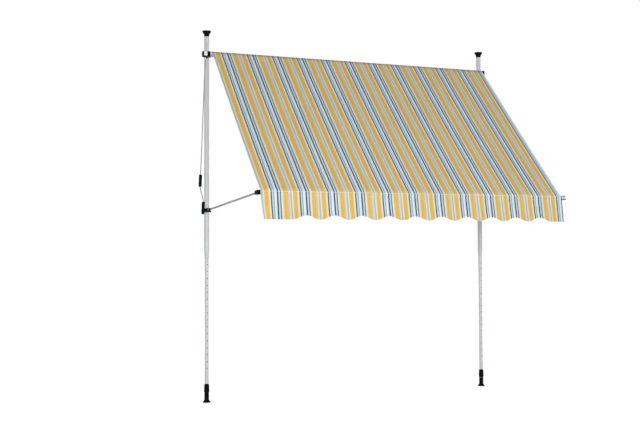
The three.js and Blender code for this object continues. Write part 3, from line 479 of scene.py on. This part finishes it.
def clamp_bolt(x, z):
    """Pan-headed bolt with a cross slot and a hexagon nut."""
    head = spun([(0, 0), (2.2, 0.1), (3.6, 0.7), (4.2, 1.6), (4.3, 2.6), (4.3, 3.5), (0, 3.5)], 32)
    head = bored(head, block((-2.2, 2.2), (-0.45, 0.45), (-1, 1)), block((-0.45, 0.45), (-2.2, 2.2), (-1, 1)))
    shank = moved(stub(2.5, 16.4, 0.3, 24), z=3.3)
    nut = moved(stub(4.6, 4, 0.5, 6), z=16.1)
    return aimed(gathered_up(head, shank, nut), (x, -9.8, z), (x, 12, z))


def make_roller_clamp(side, x, out):
    plate_z = (ROLLER_Z - 18.5, ROLLER_Z + 18.5)
    bottom, top = (z + COLLAR_LIFT for z in plate_z)
    plate_x = (-14, -4) if out < 0 else (-19, -9)
    plate = slab(rounded_rectangle((ROLLER_Y - 18, -14), plate_z, 8), *plate_x)
    outer_face = plate_x[0] if out < 0 else plate_x[1]
    pocket = slab(rounded_rectangle((ROLLER_Y + 15, -31), (plate_z[0] + 5, plate_z[1] - 5), 4),
                  *sorted((outer_face - out, outer_face + out)))
    front = bored(joined(collar(-1, bottom, top), plate), post_bore(plate_z[0], top),
                  bar_between(6.3, (-40, ROLLER_Y, ROLLER_Z), (40, ROLLER_Y, ROLLER_Z), 0.1), pocket)
    finished(f"{side}_bracket", moved(front, x), nylon_black, [f"{side}_roller_clamp_front"], bevel=0.7)
    back = bored(collar(1, bottom, top), post_bore(bottom, top))
    finished(f"{side}_bracket_back", moved(back, x), nylon_black, [f"{side}_roller_clamp_back"], bevel=0.7)
    for letter, way in (("a", -1), ("b", 1)):
        finished(f"{side}_bracket_bolt_{letter}", moved(clamp_bolt(way * 28.5, ROLLER_Z + COLLAR_LIFT), x), zinc,
                 [f"{side}_roller_clamp_bolt_{letter}"], sharp=30)


def make_arm_clamp(side, x, out):
    """Clamp with one ear outside the arm's tongue; the pivot bolt's nut sits on the tongue's inner side."""
    bottom, top = 1374, 1401
    tongue, ear = 3.4, 11.4
    outline = ([(-16, bottom), (-16, top), (-70, PIVOT_Z + 9.4)]
               + arc(PIVOT_Y, PIVOT_Z, 9.4, 0.5, 1.5, 14) + [(PIVOT_Y + 20, bottom)])
    front = bored(joined(collar(-1, bottom, top), slab(outline, *sorted((out * tongue, out * ear)))),
                  post_bore(bottom, top))
    finished(f"{side}_arm_bracket", moved(front, x), nylon_black, [f"{side}_arm_clamp_front"], bevel=0.7)
    back = bored(collar(1, bottom, top), post_bore(bottom, top))
    finished(f"{side}_arm_bracket_back", moved(back, x), nylon_black, [f"{side}_arm_clamp_back"], bevel=0.7)
    for letter, way in (("a", -1), ("b", 1)):
        finished(f"{side}_arm_bracket_bolt_{letter}", moved(clamp_bolt(way * 28.5, 1387.5), x), zinc,
                 [f"{side}_arm_clamp_bolt_{letter}"], sharp=30)
    pivot = gathered_up(
        bar_between(5.5, (out * (ear + 0.3), 0, 0), (out * (ear + 3.8), 0, 0), 0.5, 6),
        bar_between(3, (out * (ear + 1), 0, 0), (-out * 10, 0, 0), 0.4, 24),
        bar_between(6.5, (-out * tongue, 0, 0), (-out * 8.4, 0, 0), 0.5, 6))
    finished(f"{side}_pivot", moved(pivot, x, PIVOT_Y, PIVOT_Z), zinc, [f"{side}_arm_pivot_bolt"], sharp=30)


# Arms


def arm_place(x):
    return Matrix.Translation((x, PIVOT_Y, PIVOT_Z)) @ Matrix.Rotation(-ARM_RISE, 4, "X")


def make_arm(side, x, out):
    """Round tube pressed flat at its pivot, and the moulded knuckle that takes the front bar."""
    tube_end = ARM_LENGTH - KNUCKLE_LENGTH + SOCKET_DEPTH
    arm = stub(6.5, tube_end, 0.3, 32)
    bmesh.ops.bisect_plane(arm, geom=arm.verts[:] + arm.edges[:] + arm.faces[:], plane_co=(0, 0, 60), plane_no=(0, 0, 1))
    for z in (2, 6, 10, 14, 18, 22, 26, 30, 34, 38, 42):
        bmesh.ops.bisect_plane(
            arm, geom=arm.verts[:] + arm.edges[:] + arm.faces[:], plane_co=(0, 0, z), plane_no=(0, 0, 1))
    for v in arm.verts:
        flat = 1 - min(1, max(0, (v.co.z - 12) / 28))
        flat = flat * flat * (3 - 2 * flat)
        wide = 8 if v.co.z > 0.5 else 7.4
        v.co.x = max(-3.1, min(3.1, v.co.x)) * flat + v.co.x * (1 - flat)
        v.co.y *= 1 + (wide / 6.5 - 1) * flat
    arm.transform(Matrix.Rotation(math.pi / 2, 4, "X"))
    tongue = bar_between(8, (-3.1, 0, 0), (3.1, 0, 0), 0.4, 32)
    arm = bored(joined(arm, tongue), bar_between(3.3, (-9, 0, 0), (9, 0, 0), 0.05, 24))
    arm.transform(arm_place(x))
    finished(f"{side}_arm", arm, powder_grey, [f"{side}_arm_tube"])

    middle, half = out * 2, 10.5
    jaw = BAR_RADIUS + GAP + 2.4
    back = -ARM_LENGTH + KNUCKLE_LENGTH
    outline = ([(back, -9.5), (back, 9.5), (back - 1.2, 12), (back - 3.5, 13), (-ARM_LENGTH + jaw + 6, 13)]
               + arc(-ARM_LENGTH, 0, jaw, 1 / 3, 0.73, 14)
               + arc(-ARM_LENGTH, 0, jaw - 1.2, 0.75, 0.76, 1)
               + arc(-ARM_LENGTH, 0, BAR_RADIUS + GAP, 0.75, -0.75, 36)
               + arc(-ARM_LENGTH, 0, jaw - 1.2, -0.76, -0.75, 1)
               + arc(-ARM_LENGTH, 0, jaw, -0.73, -1 / 3, 14)
               + [(-ARM_LENGTH + jaw + 6, -13), (back - 3.5, -13), (back - 1.2, -12)])
    body = slab(outline, middle - half, middle + half)
    ribs = [block((middle + way * half - 1.4, middle + way * half + 1.4), (-ARM_LENGTH + 22, back - 5), (-8.5, 8.5))
            for way in (-1, 1)]
    body = bored(body, bar_between(6.8, (0, back + 1, 0), (0, -tube_end - GAP, 0), 0.1, 40), *ribs)
    screw = bar_between(2.6, (0, back - 9, 12.2), (0, back - 9, 13.8), 0.5, 20)
    if side == "left":
        lid = bar_between(jaw, (middle - half, -ARM_LENGTH, 0), (-4, -ARM_LENGTH, 0), 0.5)
        ring = aimed(hollow(jaw, BAR_RADIUS + GAP, 0, half + middle + 5, 48), (-5, -ARM_LENGTH, 0), (-4, -ARM_LENGTH, 0))
        body = joined(body, lid, ring)
    body = gathered_up(body, screw)
    body.transform(arm_place(x))
    finished(f"{side}_knuckle", body, nylon_black, [f"{side}_arm_knuckle"], bevel=0.7)


# Roller, gearbox and crank


def make_roller():
    tube = aimed(hollow(17.5, 16.3, 0, ROOF_RIGHT + 1150, 64), (-1150, ROLLER_Y, ROLLER_Z),
                 (ROOF_RIGHT, ROLLER_Y, ROLLER_Z))
    finished("winding_tube", tube, galvanised, ["roller_tube"])
    start = ROOF_RIGHT + GAP
    flange = spun([(6.3, 0), (17.9, 0), (18.7, 0.3), (19, 0.9), (19, 10.9), (18.7, 11.4), (17.9, 11.7),
                   (6.3, 11.7), (6.3, 0)], 64)
    core = spun([(6.3, -40), (15, -40), (16, -39), (16, 0.4), (6.3, 0.4), (6.3, -40)], 48)
    drum = joined(flange, core)
    finished("end_drum", aimed(drum, (start, ROLLER_Y, ROLLER_Z), (start + 1, ROLLER_Y, ROLLER_Z)),
             nylon_black, ["right_roller_plug"])
    idler = spun([(0, 0), (5.4, 0), (6, 0.6), (6, 51.3), (8.4, 51.3), (9, 51.9), (9, 53.6), (8, 54.6), (0, 54.8)], 40)
    finished("idler_axle", aimed(idler, (1086.5, ROLLER_Y, ROLLER_Z), (1087, ROLLER_Y, ROLLER_Z)), zinc, ["idler_pin"])


def make_gearbox():
    """Moulded gear housing, open towards the bracket, with its white cover."""
    z = (ROLLER_Z - 18.5, ROLLER_Z + 18.5)
    y = (ROLLER_Y - 16.5, WORM_Y + 10.9)
    shell = bored(
        slab(rounded_rectangle(y, z, 9, 8), HOUSING_OUT, HOUSING_IN),
        slab(rounded_rectangle((y[0] + 2.5, y[1] - 2.5), (z[0] + 2.5, z[1] - 2.5), 7, 8), HOUSING_OUT + 2.5, HOUSING_IN + 1))
    neck = bar_between(6.5, (GEAR_X, WORM_Y, z[0] - 3), (GEAR_X, WORM_Y, z[0] + 2.5), 0.6)
    ring = aimed(hollow(13.5, 10.8, 0, 1.3, 48), (HOUSING_OUT - 0.9, ROLLER_Y, ROLLER_Z), (HOUSING_OUT, ROLLER_Y, ROLLER_Z))
    hub = bar_between(8, (HOUSING_OUT - 0.7, ROLLER_Y, ROLLER_Z), (HOUSING_OUT + 6.5, ROLLER_Y, ROLLER_Z), 0.5)
    lean = math.radians(2.4)
    eye = Vector((GEAR_X - 44 * math.tan(lean), WORM_Y, ROLLER_Z - 44))
    way_up = Vector((math.sin(lean), 0, math.cos(lean)))
    housing = bored(joined(shell, neck, ring, hub), bar_between(3.3, eye, eye + way_up * 40, 0.05, 24))
    finished("gear_casing", housing, nylon_black, ["gear_housing"], bevel=0.7)
    cover = slab(rounded_rectangle((y[0] - 3.3, y[0] - GAP), (z[0] + 3, z[1] - 3), 1.4, 4),
                 HOUSING_OUT + 4, HOUSING_IN - 13)
    finished("gear_casing_cover", cover, abs_white, ["gear_cover"], bevel=0.5)
    return Matrix.Translation(eye) @ Matrix.Rotation(lean, 4, "Y")


def make_crank(place):
    """Hook, rod and offset handle in one bent wire, with two grips that turn on it."""
    bend = math.radians(-72)
    aside = Vector((49.6 * math.cos(bend), 49.6 * math.sin(bend), 0))
    thin = 2.3 / 3.5
    line = [((0, 4.6, -15), thin * 0.8), ((0, 4.6, -14.4), thin), ((0, 4.6, -7), thin)]
    line += [((0, y, z), thin) for y, z in arc(0, -7, 4.6, 0, 1, 16)[1:]]
    line += [((0, -4.5, -12), thin), ((0, -3.4, -17), thin * 1.05), ((0, -1.8, -22), thin * 1.15),
             ((0, -0.6, -28), thin * 1.3), ((0, 0, -34), 1), ((0, 0, -60), 1)]
    elbow_top, elbow_low = Vector((0, 0, -921)), aside + Vector((0, 0, -1023))
    link = (elbow_low - elbow_top).normalized()
    for corner, before, after in ((elbow_top, Vector((0, 0, -1)), link), (elbow_low, link, Vector((0, 0, -1)))):
        first, last = corner - before * 7, corner + after * 7
        for i in range(9):
            t = i / 8
            line.append((first * (1 - t) ** 2 + corner * 2 * t * (1 - t) + last * t ** 2, 1))
    line.append((aside + Vector((0, 0, -1114.5)), 1))
    rod = swept(line, 3.5)
    stop = moved(stub(6.5, 3, 0.7), aside.x, aside.y, -1117.5)
    whole = gathered_up(rod, stop)
    whole.transform(place)
    finished("crank_wire", whole, powder_grey, ["crank_rod"])
    grip = [(3.8, -87), (7.5, -87), (9.5, -86.4), (10.8, -84.8), (11.5, -82), (11.5, -78.5), (11, -77.8),
            (11, -76.4), (11.5, -75.7), (11.5, -60), (11.1, -44), (11.5, -27), (11.5, -11.3), (11, -10.6),
            (11, -9.2), (11.5, -8.5), (11.5, -5), (10.8, -2.2), (9.5, -0.6), (7.5, 0), (3.8, 0), (3.8, -87)]
    for name, node, x, y, z in (("upper_grip", "crank_upper_grip", 0, 0, -830),
                                ("lower_grip", "crank_lower_grip", aside.x, aside.y, -1027)):
        sleeve = moved(spun(grip, 48), x, y, z)
        sleeve.transform(place)
        finished(name, sleeve, rubber_black, [node])


# Front bar


def make_front_bar():
    tube = aimed(hollow(BAR_RADIUS, BAR_RADIUS - WALL, 0, BAR_ENDS[1] - BAR_ENDS[0], 64),
                 (BAR_ENDS[0], BAR_Y, BAR_Z), (BAR_ENDS[1], BAR_Y, BAR_Z))
    finished("drop_bar", tube, powder_white, ["front_bar_tube"])
    for side, way, end in (("left", -1, BAR_ENDS[0]), ("right", 1, BAR_ENDS[1])):
        cap = spun([(0, -18), (10.2, -18), (11, -17), (11, 0.3), (12.5, 0.3), (12.5, 1.7), (12.1, 2.5), (11.2, 2.9),
                    (6, 3.1), (0, 3.1)], 48)
        finished(f"{side}_end_cap", aimed(cap, (end, BAR_Y, BAR_Z), (end + way, BAR_Y, BAR_Z)), abs_white,
                 [f"{side}_bar_cap"])


# Cloth

TO_BAR = math.atan2(BAR_Z - ROLLER_Z, BAR_Y - ROLLER_Y)
SPAN = math.hypot(BAR_Z - ROLLER_Z, BAR_Y - ROLLER_Y)
TANGENT = TO_BAR - math.acos((ROLL_RADIUS - 13.8) / SPAN)
FACING = (math.cos(TANGENT), math.sin(TANGENT))


def cloth_grid(columns, rows, flat, place):
    """A woven sheet: flat gives each spot's place on the cut cloth, place its point in the awning."""
    bm = bmesh.new()
    bmesh.ops.create_grid(bm, x_segments=columns, y_segments=rows, size=1)
    uv = bm.loops.layers.uv.new("cloth")
    for face in bm.faces:
        for loop in face.loops:
            across, down = (loop.vert.co.x + 1) / 2, (loop.vert.co.y + 1) / 2
            loop[uv].uv = [c * MM for c in flat(across, down)]
    for v in bm.verts:
        v.co = place((v.co.x + 1) / 2, (v.co.y + 1) / 2)
    bmesh.ops.recalc_face_normals(bm, faces=bm.faces)
    return bm


def thick(piece, thickness, offset=0.0):
    wall = piece.modifiers.new("cloth_thickness", "SOLIDIFY")
    wall.thickness, wall.offset = thickness * MM, offset


def roof_x(share):
    return CLOTH_LEFT + (ROOF_RIGHT - CLOTH_LEFT) * share


def valance_x(share):
    return CLOTH_LEFT + (VALANCE_RIGHT - CLOTH_LEFT) * share


def canopy_point(x, down, lift=0.0):
    """A point of the roof cloth, from the roll (0) to the front bar (1), which hangs through a little."""
    roll, bar = ROLL_RADIUS + 0.6, 13.8 + 0.6
    sag = 4 * down * (1 - down) * (6 + 1.2 * math.sin(x / 260) + 0.8 * math.cos(x / 97))
    height = lift - sag
    y = (1 - down) * (ROLLER_Y + roll * FACING[0]) + down * (BAR_Y + bar * FACING[0]) + FACING[0] * height
    z = (1 - down) * (ROLLER_Z + roll * FACING[1]) + down * (BAR_Z + bar * FACING[1]) + FACING[1] * height
    return Vector((x, y, z))


ROOF_LENGTH = (canopy_point(0, 1) - canopy_point(0, 0)).length


def squashed(piece):
    """Gives a piece of the roof a mesh of its own."""
    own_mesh(piece)


def stitches(spots, heading, name, body, nodes=()):
    """Straight lockstitches, each a short flat-bottomed bar laid along its seam."""
    whole = bmesh.new()
    for spot, direction in zip(spots, heading):
        made = bmesh.ops.create_cube(whole, size=1)["verts"]
        bmesh.ops.scale(whole, verts=made, vec=(0.55, 0.5, 3.4))
        turn = direction.to_track_quat("Z", "Y").to_matrix().to_4x4()
        bmesh.ops.transform(whole, verts=made, matrix=Matrix.Translation(spot) @ turn)
    return finished(name, whole, thread_white, list(nodes), body=body, sharp=80)


def make_roof():
    roof = finished(
        "roof_cloth",
        cloth_grid(260, 60, lambda s, t: (roof_x(s), t * ROOF_LENGTH), lambda s, t: canopy_point(roof_x(s), t)),
        canvas, ["canopy_cloth"])
    thick(roof, CLOTH)
    hems = []
    for side, way, edge in (("left", -1, CLOTH_LEFT), ("right", 1, ROOF_RIGHT)):
        width = 20

        def hem_x(s, edge=edge, way=way, width=width):
            return edge - way * width * s

        hem = finished(
            f"roof_{side}_hem",
            cloth_grid(5, 60, lambda s, t, hem_x=hem_x: (hem_x(s), t * ROOF_LENGTH),
                       lambda s, t, hem_x=hem_x: canopy_point(hem_x(s), t, -0.75)),
            canvas, [], body="frame")
        thick(hem, CLOTH)
        hems.append(hem)
        count = int(ROOF_LENGTH / 5)
        for row, inset in enumerate((3.5, 17)):
            places = [(k + 0.5) / count for k in range(count)]
            spots = [canopy_point(edge - way * inset, t, 0.45) for t in places]
            runs = [canopy_point(0, t + 0.001) - canopy_point(0, t) for t in places]
            hems.append(stitches(spots, runs, f"roof_{side}_stitches_{row + 1}", "frame"))
    for piece in (roof, *hems):
        squashed(piece)


def make_roll():
    """The turns left on the winding tube, in one spiral that ends where the roof leaves it."""
    turns, per_turn = 3, 48
    steps = turns * per_turn
    low, high = 17.5 + GAP + 0.3, ROLL_RADIUS - 0.3

    def spiral(t):
        angle = TANGENT + math.tau * turns * (t - 1)
        radius = low + (high - low) * t
        return radius, angle

    length = turns * math.tau * (low + high) / 2

    def place(s, t):
        radius, angle = spiral(t)
        return Vector((roof_x(s), ROLLER_Y + radius * math.cos(angle), ROLLER_Z + radius * math.sin(angle)))

    roll = finished("rolled_cloth", cloth_grid(24, steps, lambda s, t: (roof_x(s), t * length), place),
                    canvas, ["cloth_roll"])
    thick(roll, 0.5)


# Pocket and valance, as one strip: up the back of the pocket, over the bar, down the front and free from the seam.
POCKET_R = 13.4
SEAM_DROP, VALANCE_DROP = 19, 171
SEAM_REACH = math.hypot(POCKET_R, SEAM_DROP)
BACK_TANGENT = math.atan2(-SEAM_DROP, -POCKET_R) + math.acos(POCKET_R / SEAM_REACH)
BACK_RUN = math.sqrt(SEAM_REACH ** 2 - POCKET_R ** 2)
ROUND_RUN = POCKET_R * (math.pi - BACK_TANGENT)
FREE_RUN = VALANCE_DROP - SEAM_DROP
STATIONS = ([("back", i / 4) for i in range(4)] + [("round", i / 30) for i in range(30)]
            + [("front", i / 16) for i in range(16)] + [("free", i / 30) for i in range(31)])
FIRST_ARCH, LAST_ARCH = LOBE_X - 4.5 * SCALLOP, LOBE_X + 4.5 * SCALLOP
LEAN, WAVE, CORNER_DRAW, CORNER_REACH = 22, 8, 12, 130
TUCK_DROP, TUCK_DEPTH, TUCK_WIDTH = 8.5, 1.6, 2.2


def scallop_lift(x):
    if FIRST_ARCH - SCALLOP / 2 < x < LAST_ARCH + SCALLOP / 2:
        return SCALLOP_DEPTH * (1 - math.cos(math.tau * (x - LOBE_X) / SCALLOP)) / 2
    return 0


def valance_point(x, share, proud=0.0):
    """The free part of the valance: it leans forward, swings out at its lobes and draws in at its left corner."""
    phase = math.tau * (x - LOBE_X) / SCALLOP
    lobe = math.floor((x - LOBE_X) / SCALLOP + 0.5)
    own = 0.75 + 0.25 * math.sin(lobe * 2.3 + 0.7)
    swing = share * (LEAN + 2.5 * math.sin(x / 410 + 1) + WAVE * own * math.cos(phase) * 0.5 + WAVE / 2)
    swing += 3.5 * share ** 2 * math.sin(phase * 0.5 + 0.9 * math.sin(x / 300)) * 0.5
    end = max(0, 1 - (x - CLOTH_LEFT) / CORNER_REACH)
    drawn = x + CORNER_DRAW * (end * share) ** 2
    y = BAR_Y - POCKET_R - swing - proud
    z = BAR_Z - SEAM_DROP - share * (FREE_RUN - scallop_lift(x))
    return Vector((drawn, y, z))


def strip_point(x, station):
    part, share = station
    if part == "free":
        return valance_point(x, share)
    if part == "front":
        drop = share * SEAM_DROP
        tuck = TUCK_DEPTH * math.exp(-((drop - TUCK_DROP) / TUCK_WIDTH) ** 2)
        return Vector((x, BAR_Y - POCKET_R + tuck, BAR_Z - drop))
    if part == "round":
        angle = BACK_TANGENT + (math.pi - BACK_TANGENT) * share
        return Vector((x, BAR_Y + POCKET_R * math.cos(angle), BAR_Z + POCKET_R * math.sin(angle)))
    seam = Vector((x, BAR_Y - POCKET_R + 0.7, BAR_Z - SEAM_DROP))
    tangent = Vector((x, BAR_Y + POCKET_R * math.cos(BACK_TANGENT), BAR_Z + POCKET_R * math.sin(BACK_TANGENT)))
    return seam.lerp(tangent, share)


def strip_flat(x, station):
    part, share = station
    before = {"back": 0, "round": BACK_RUN, "front": BACK_RUN + ROUND_RUN, "free": BACK_RUN + ROUND_RUN + SEAM_DROP}
    run = {"back": BACK_RUN, "round": ROUND_RUN, "front": SEAM_DROP, "free": FREE_RUN - scallop_lift(x)}
    return x, before[part] + share * run[part]


def make_valance():
    columns, rows = 360, len(STATIONS) - 1

    def station(t):
        return STATIONS[round(t * rows)]

    strip = finished(
        "valance_cloth",
        cloth_grid(columns, rows, lambda s, t: strip_flat(valance_x(s), station(t)),
                   lambda s, t: strip_point(valance_x(s), station(t))),
        canvas, ["pocket_and_valance"], sharp=70)
    thick(strip, CLOTH)

    def binding_point(s, t, proud):
        x = valance_x(s)
        free = FREE_RUN - scallop_lift(x)
        return valance_point(x, 1 - (1 - t) * 8 / free, proud)

    tape = finished(
        "valance_binding",
        cloth_grid(columns, 3, lambda s, t: (valance_x(s), 235 + 8 * t), lambda s, t: binding_point(s, t, 0.65)),
        canvas, [], body="front_bar", sharp=70)
    thick(tape, CLOTH)
    # A thin strip of the half-white canvas over the top of the pocket: a painted highlight along the crease.
    fold_r, fold_turn = POCKET_R + 0.9, 0.38

    def fold_point(s, t):
        angle = TANGENT + 0.03 + fold_turn * t
        return Vector((valance_x(s), BAR_Y + fold_r * math.cos(angle), BAR_Z + fold_r * math.sin(angle)))

    fold = finished(
        "pocket_fold_painted_highlight", cloth_grid(40, 6, lambda s, t: (valance_x(s), fold_r * fold_turn * t), fold_point),
        canvas_painted_highlight, [], body="front_bar")
    thick(fold, CLOTH)
    count = 440
    places = [(k + 0.5) / count for k in range(count)]
    for number, drop in ((1, 13.0), (2, 17.0)):
        spots = [Vector((valance_x(s), BAR_Y - POCKET_R - 0.5, BAR_Z - drop)) for s in places]
        stitches(spots, [Vector((1, 0, 0))] * count, f"pocket_stitches_{number}", "front_bar")
    spots = [binding_point(s, 0.25, 1.1) for s in places]
    runs = [binding_point(s + 0.001, 0.25, 1.1) - binding_point(s, 0.25, 1.1) for s in places]
    stitches(spots, runs, "binding_stitches", "front_bar")


for side, out in (("left", -1), ("right", 1)):
    make_foot(side, out * POST_X)
    make_post(side, out * POST_X)
    make_roller_clamp(side, out * POST_X, out)
    make_arm_clamp(side, out * POST_X, out)
    make_arm(side, out * POST_X, out)
make_roller()
make_crank(make_gearbox())
make_front_bar()
make_roof()
make_roll()
make_valance()

# Pieces that keep the solid's own shape, inside the tubes and the gearbox.
KEPT = {
    "left_guide_bush": nylon_black, "right_guide_bush": nylon_black, "left_roller_plug": nylon_black,
    "worm_wheel": brass, "worm_shaft": zinc,
}
for node, material in KEPT.items():
    kept = frame["nodes"][node]
    kept.data.materials.clear()
    kept.data.materials.append(material)

# Studio


def make_studio():
    floor_mesh = bpy.data.meshes.new("studio_floor")
    bm = bmesh.new()
    bmesh.ops.create_grid(bm, x_segments=1, y_segments=1, size=60)
    bm.to_mesh(floor_mesh)
    bm.free()
    floor = bpy.data.objects.new("studio_floor", floor_mesh)
    bpy.context.scene.collection.objects.link(floor)
    paper = new_material("pale_studio_floor")
    path = add(paper, "ShaderNodeLightPath")
    seen = add(paper, "ShaderNodeMath", {"operation": "ADD"}, {
        0: path.outputs["Is Camera Ray"], 1: path.outputs["Is Glossy Ray"]})
    seen = add(paper, "ShaderNodeMath", {"operation": "ADD", "use_clamp": True}, {
        0: seen.outputs[0], 1: path.outputs["Is Transmission Ray"]})
    spot = add(paper, "ShaderNodeTexCoord")
    away = add(paper, "ShaderNodeVectorMath", {"operation": "LENGTH"}, {0: spot.outputs["Object"]})
    fill = add(paper, "ShaderNodeMapRange", {}, {
        "Value": away.outputs["Value"], "From Min": 2, "From Max": 12, "To Min": 0.62, "To Max": 0.78})
    glow = add(paper, "ShaderNodeMath", {"operation": "MULTIPLY"}, {0: seen.outputs[0], 1: fill.outputs[0]})
    surface(paper, base_color=linear("#F4F4F4"), roughness=0.9, specular_ior_level=0.0,
            emission_color=linear("#FFFFFF"), emission_strength=glow.outputs[0])
    floor_mesh.materials.append(paper)

    world = bpy.data.worlds.new("studio")
    bpy.context.scene.world = world
    world.use_nodes = True
    world.node_tree.nodes.clear()
    path = add(world, "ShaderNodeLightPath")
    seen = add(world, "ShaderNodeMath", {"operation": "ADD"}, {
        0: path.outputs["Is Camera Ray"], 1: path.outputs["Is Glossy Ray"]})
    seen = add(world, "ShaderNodeMath", {"operation": "ADD", "use_clamp": True}, {
        0: seen.outputs[0], 1: path.outputs["Is Transmission Ray"]})
    ambient = add(world, "ShaderNodeMapRange", {}, {"Value": seen.outputs[0], "To Min": 0.34, "To Max": 1.0})
    sky = add(world, "ShaderNodeBackground", {}, {"Color": (1, 1, 1, 1), "Strength": ambient.outputs[0]})
    add(world, "ShaderNodeOutputWorld", {}, {"Surface": sky.outputs[0]})

    for name, place, aim, size, power in (
        ("key_softbox", (-2.4, -8.4, 2.0), (0, -0.8, 1.7), 3.2, 328),
        ("fill_softbox", (5.5, -6.0, 1.6), (0, -0.5, 1.4), 3.0, 35),
        ("back_softbox", (3.0, 6.5, 3.0), (0, -0.3, 1.4), 3.0, 90),
    ):
        lamp = bpy.data.lights.new(name, "AREA")
        lamp.shape, lamp.size, lamp.energy = "DISK", size, power
        softbox = bpy.data.objects.new(name, lamp)
        softbox.location = place
        softbox.rotation_euler = (Vector(aim) - Vector(place)).to_track_quat("-Z", "Y").to_euler()
        bpy.context.scene.collection.objects.link(softbox)


make_studio()
bpy.context.scene.view_settings.view_transform = "Standard"

bpy.context.view_layer.update()
